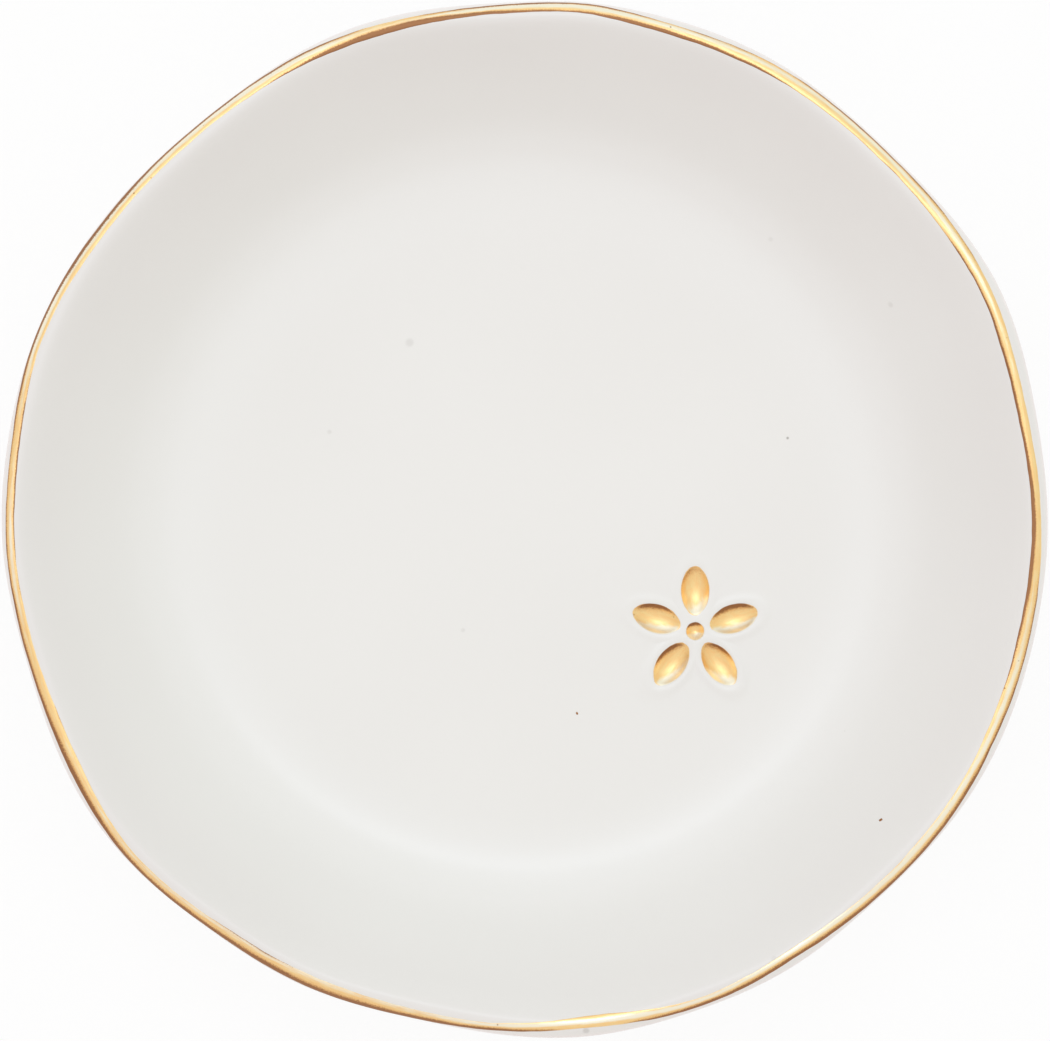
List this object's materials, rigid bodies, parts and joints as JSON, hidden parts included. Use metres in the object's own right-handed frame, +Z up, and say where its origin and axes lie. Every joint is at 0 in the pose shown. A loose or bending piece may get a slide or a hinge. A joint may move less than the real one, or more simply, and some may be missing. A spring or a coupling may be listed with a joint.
{
  "type": "ring dish",
  "caption": "Small round hand-formed dish for rings and trinkets: white glaze, a wavering lip painted with a gold line and a gilded flower stamped in the well.",
  "frame": {"origin": "centre of the foot ring, on the surface that the dish stands on", "axes": "+Z up out of the dish, +X to the right and +Y to the top of the picture; the stamped flower is at +X -Y"},
  "size_m": [0.1, 0.099, 0.0181],
  "materials": {
    "clay": "matte",
    "glaze": "gloss",
    "gold": "satin"
  },
  "bodies": {
    "root": {"clay_body": "clay", "glaze_coat": "glaze", "base_glaze": "glaze", "rim_gilding": "gold", "mark_gilding": "gold"}
  },
  "joints": []
}
